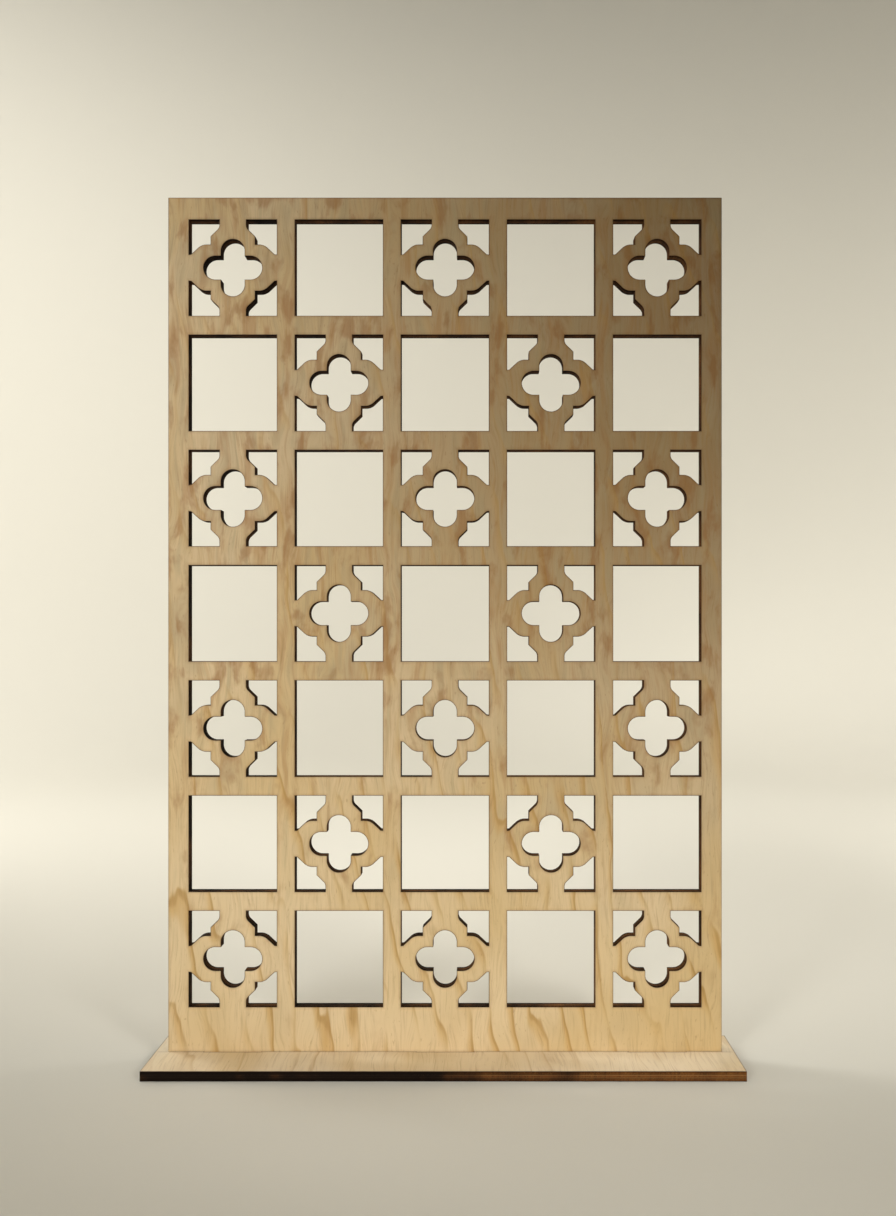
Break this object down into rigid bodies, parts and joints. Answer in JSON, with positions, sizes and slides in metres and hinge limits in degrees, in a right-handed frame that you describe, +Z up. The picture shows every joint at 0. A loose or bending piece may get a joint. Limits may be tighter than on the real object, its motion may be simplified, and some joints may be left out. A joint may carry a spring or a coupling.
{
  "type": "laser-cut wood panel",
  "caption": "Upright plywood lattice with pierced quatrefoil rosettes and plain windows in turn, standing by tabs in a flat foot plate.",
  "frame": {"origin": "middle of the foot plate's underside, on the surface that the object stands on", "axes": "+Z up, +X along the panel's width, -Y out of the panel's front face"},
  "size_m": [0.2414, 0.0308, 0.3599],
  "materials": {
    "panel_plywood": "bare birch plywood, sanded, with brown-black laser-cut edges",
    "foot_plywood": "bare birch plywood, sanded, with brown-black laser-cut edges"
  },
  "bodies": {
    "root": {"lattice_panel": "panel_plywood", "foot_plate": "foot_plywood"}
  },
  "joints": []
}
